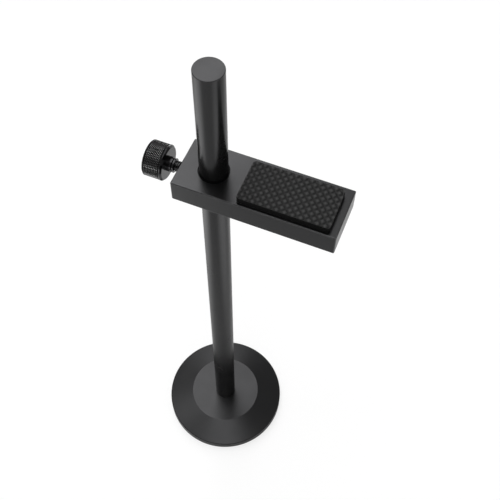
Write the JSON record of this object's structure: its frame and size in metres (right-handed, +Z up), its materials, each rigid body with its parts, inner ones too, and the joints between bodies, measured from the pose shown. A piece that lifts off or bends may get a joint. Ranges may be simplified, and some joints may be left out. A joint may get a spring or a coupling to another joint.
{
  "type": "graphics card support bracket",
  "caption": "Freestanding height-adjustable support stand: round base, upright rod, and a clamped bar with a rubber pad that props up an expansion card.",
  "frame": {"origin": "centre of the underside of the foot pad, on the rod's axis", "axes": "+Z up along the rod; +X along the bar towards its rubber pad, so the thumb screw points to -X; -Y is the side that faces the viewer"},
  "size_m": [0.0765, 0.059, 0.251],
  "materials": {
    "base_metal": "black anodised, fine satin",
    "rod_metal": "black anodised, satin",
    "plated_steel": "zinc plated",
    "magnet_plating": "nickel plated",
    "foot_rubber": "matt",
    "liner_plastic": "black nylon",
    "bar_metal": "black anodised, fine satin",
    "tape": "foam tape",
    "pad_rubber": "embossed, matt",
    "screw_metal": "black anodised, diamond knurled",
    "nose_plastic": "natural nylon"
  },
  "bodies": {
    "stand": {"base_disc": "base_metal", "rod": "rod_metal", "base_screw": "plated_steel", "ring_magnet": "magnet_plating", "foot_pad": "foot_rubber"},
    "liner": {"liner_sleeve": "liner_plastic"},
    "bar": {"arm_bar": "bar_metal", "pad_tape": "tape", "rubber_pad": "pad_rubber"},
    "nose": {"clamp_nose": "nose_plastic"},
    "screw": {"thumb_screw": "screw_metal"}
  },
  "joints": [
    {"name": "height_slide", "type": "slide", "parent": "stand", "child": "liner", "axis": [0, 0, 1], "range_m": [-0.1825, 0.0475]},
    {"name": "bar_swivel", "type": "hinge", "parent": "liner", "child": "bar", "pos_m": [0, 0, 0.1986], "axis": [0, 0, 1], "continuous": true},
    {"name": "nose_feed", "type": "slide", "parent": "bar", "child": "nose", "axis": [-1, 0, 0], "range_m": [0, 0.0021]},
    {"name": "screw_turn", "type": "hinge", "parent": "nose", "child": "screw", "pos_m": [-0.0171, 0, 0.1986], "axis": [-1, 0, 0], "range_deg": [0, 1080]}
  ],
  "couplings": [
    {"joint": "screw_turn", "follows": "nose_feed", "rad_per_m": 8976}
  ]
}
